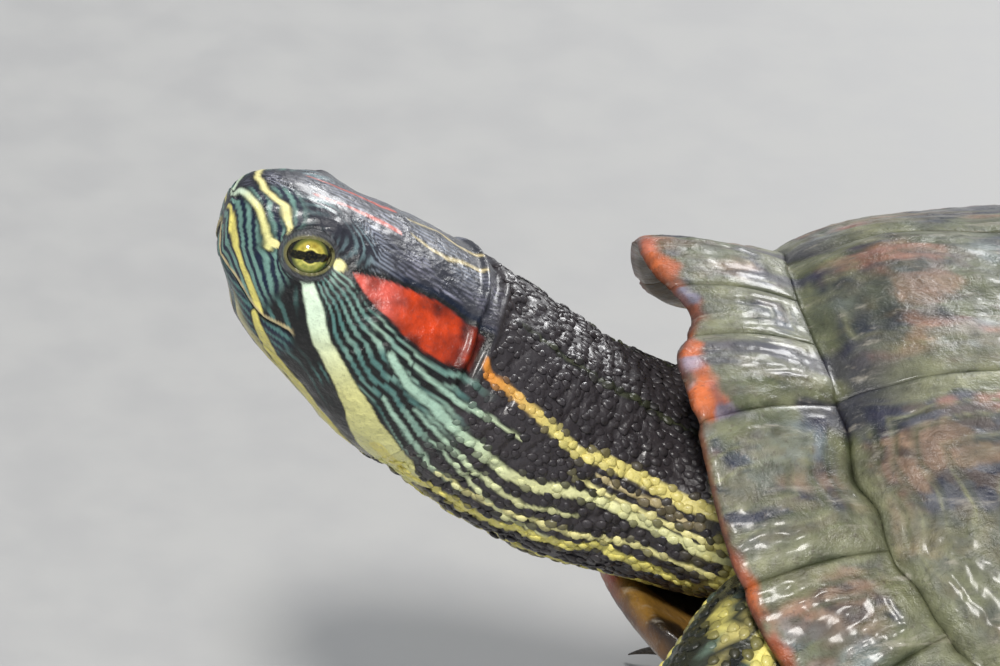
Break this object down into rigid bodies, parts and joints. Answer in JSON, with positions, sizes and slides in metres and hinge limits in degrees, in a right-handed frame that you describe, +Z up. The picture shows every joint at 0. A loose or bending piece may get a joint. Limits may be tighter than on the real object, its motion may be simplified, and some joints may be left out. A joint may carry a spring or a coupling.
{
  "type": "red-eared slider turtle, life-size still model",
  "caption": "Life-size still model of a red-eared slider propped up on its front feet with its striped neck stretched out",
  "frame": {"origin": "on the floor, under the middle of the model's bounding box", "axes": "+Z up, the animal faces -X and its left side is -Y"},
  "size_m": [0.322, 0.252, 0.14],
  "materials": {
    "scute_keratin": "wet, worn horn of the upper shell, olive grey with tan, navy and algae green patches",
    "rim_keratin": "wet horn of the shell's rim, olive with orange front edges",
    "plastron_keratin": "amber yellow horn of the lower shell with dark blotches",
    "skin": "dark beaded skin with pale yellow stripes and a red patch behind each eye",
    "eye": "wet eye, yellow green iris with a dark bar through a round pupil",
    "claw": "dark polished claw"
  },
  "bodies": {
    "root": {"vertebral_1": "scute_keratin", "vertebral_2": "scute_keratin", "vertebral_3": "scute_keratin", "vertebral_4": "scute_keratin", "vertebral_5": "scute_keratin", "pleural_left_1": "scute_keratin", "pleural_left_2": "scute_keratin", "pleural_left_3": "scute_keratin", "pleural_left_4": "scute_keratin", "marginal_left_1": "rim_keratin", "marginal_left_2": "rim_keratin", "marginal_left_3": "rim_keratin", "marginal_left_4": "rim_keratin", "marginal_left_5": "rim_keratin", "marginal_left_6": "rim_keratin", "marginal_left_7": "rim_keratin", "marginal_left_8": "rim_keratin", "marginal_left_9": "rim_keratin", "marginal_left_10": "rim_keratin", "marginal_left_11": "rim_keratin", "marginal_left_12": "rim_keratin", "pleural_right_1": "scute_keratin", "pleural_right_2": "scute_keratin", "pleural_right_3": "scute_keratin", "pleural_right_4": "scute_keratin", "marginal_right_1": "rim_keratin", "marginal_right_2": "rim_keratin", "marginal_right_3": "rim_keratin", "marginal_right_4": "rim_keratin", "marginal_right_5": "rim_keratin", "marginal_right_6": "rim_keratin", "marginal_right_7": "rim_keratin", "marginal_right_8": "rim_keratin", "marginal_right_9": "rim_keratin", "marginal_right_10": "rim_keratin", "marginal_right_11": "rim_keratin", "marginal_right_12": "rim_keratin", "nuchal": "rim_keratin", "plastron": "plastron_keratin", "bridge_left": "plastron_keratin", "bridge_right": "plastron_keratin", "neck": "skin", "tail": "skin", "leg_front_left_upper": "skin", "leg_front_left_lower": "skin", "foot_front_left": "skin", "leg_front_right_upper": "skin", "leg_front_right_lower": "skin", "foot_front_right": "skin", "leg_hind_left_upper": "skin", "leg_hind_left_lower": "skin", "foot_hind_left": "skin", "leg_hind_right_upper": "skin", "leg_hind_right_lower": "skin", "foot_hind_right": "skin", "trunk": "skin", "head": "skin", "lower_jaw": "skin", "eye_left": "eye", "eye_right": "eye"}
  },
  "joints": []
}
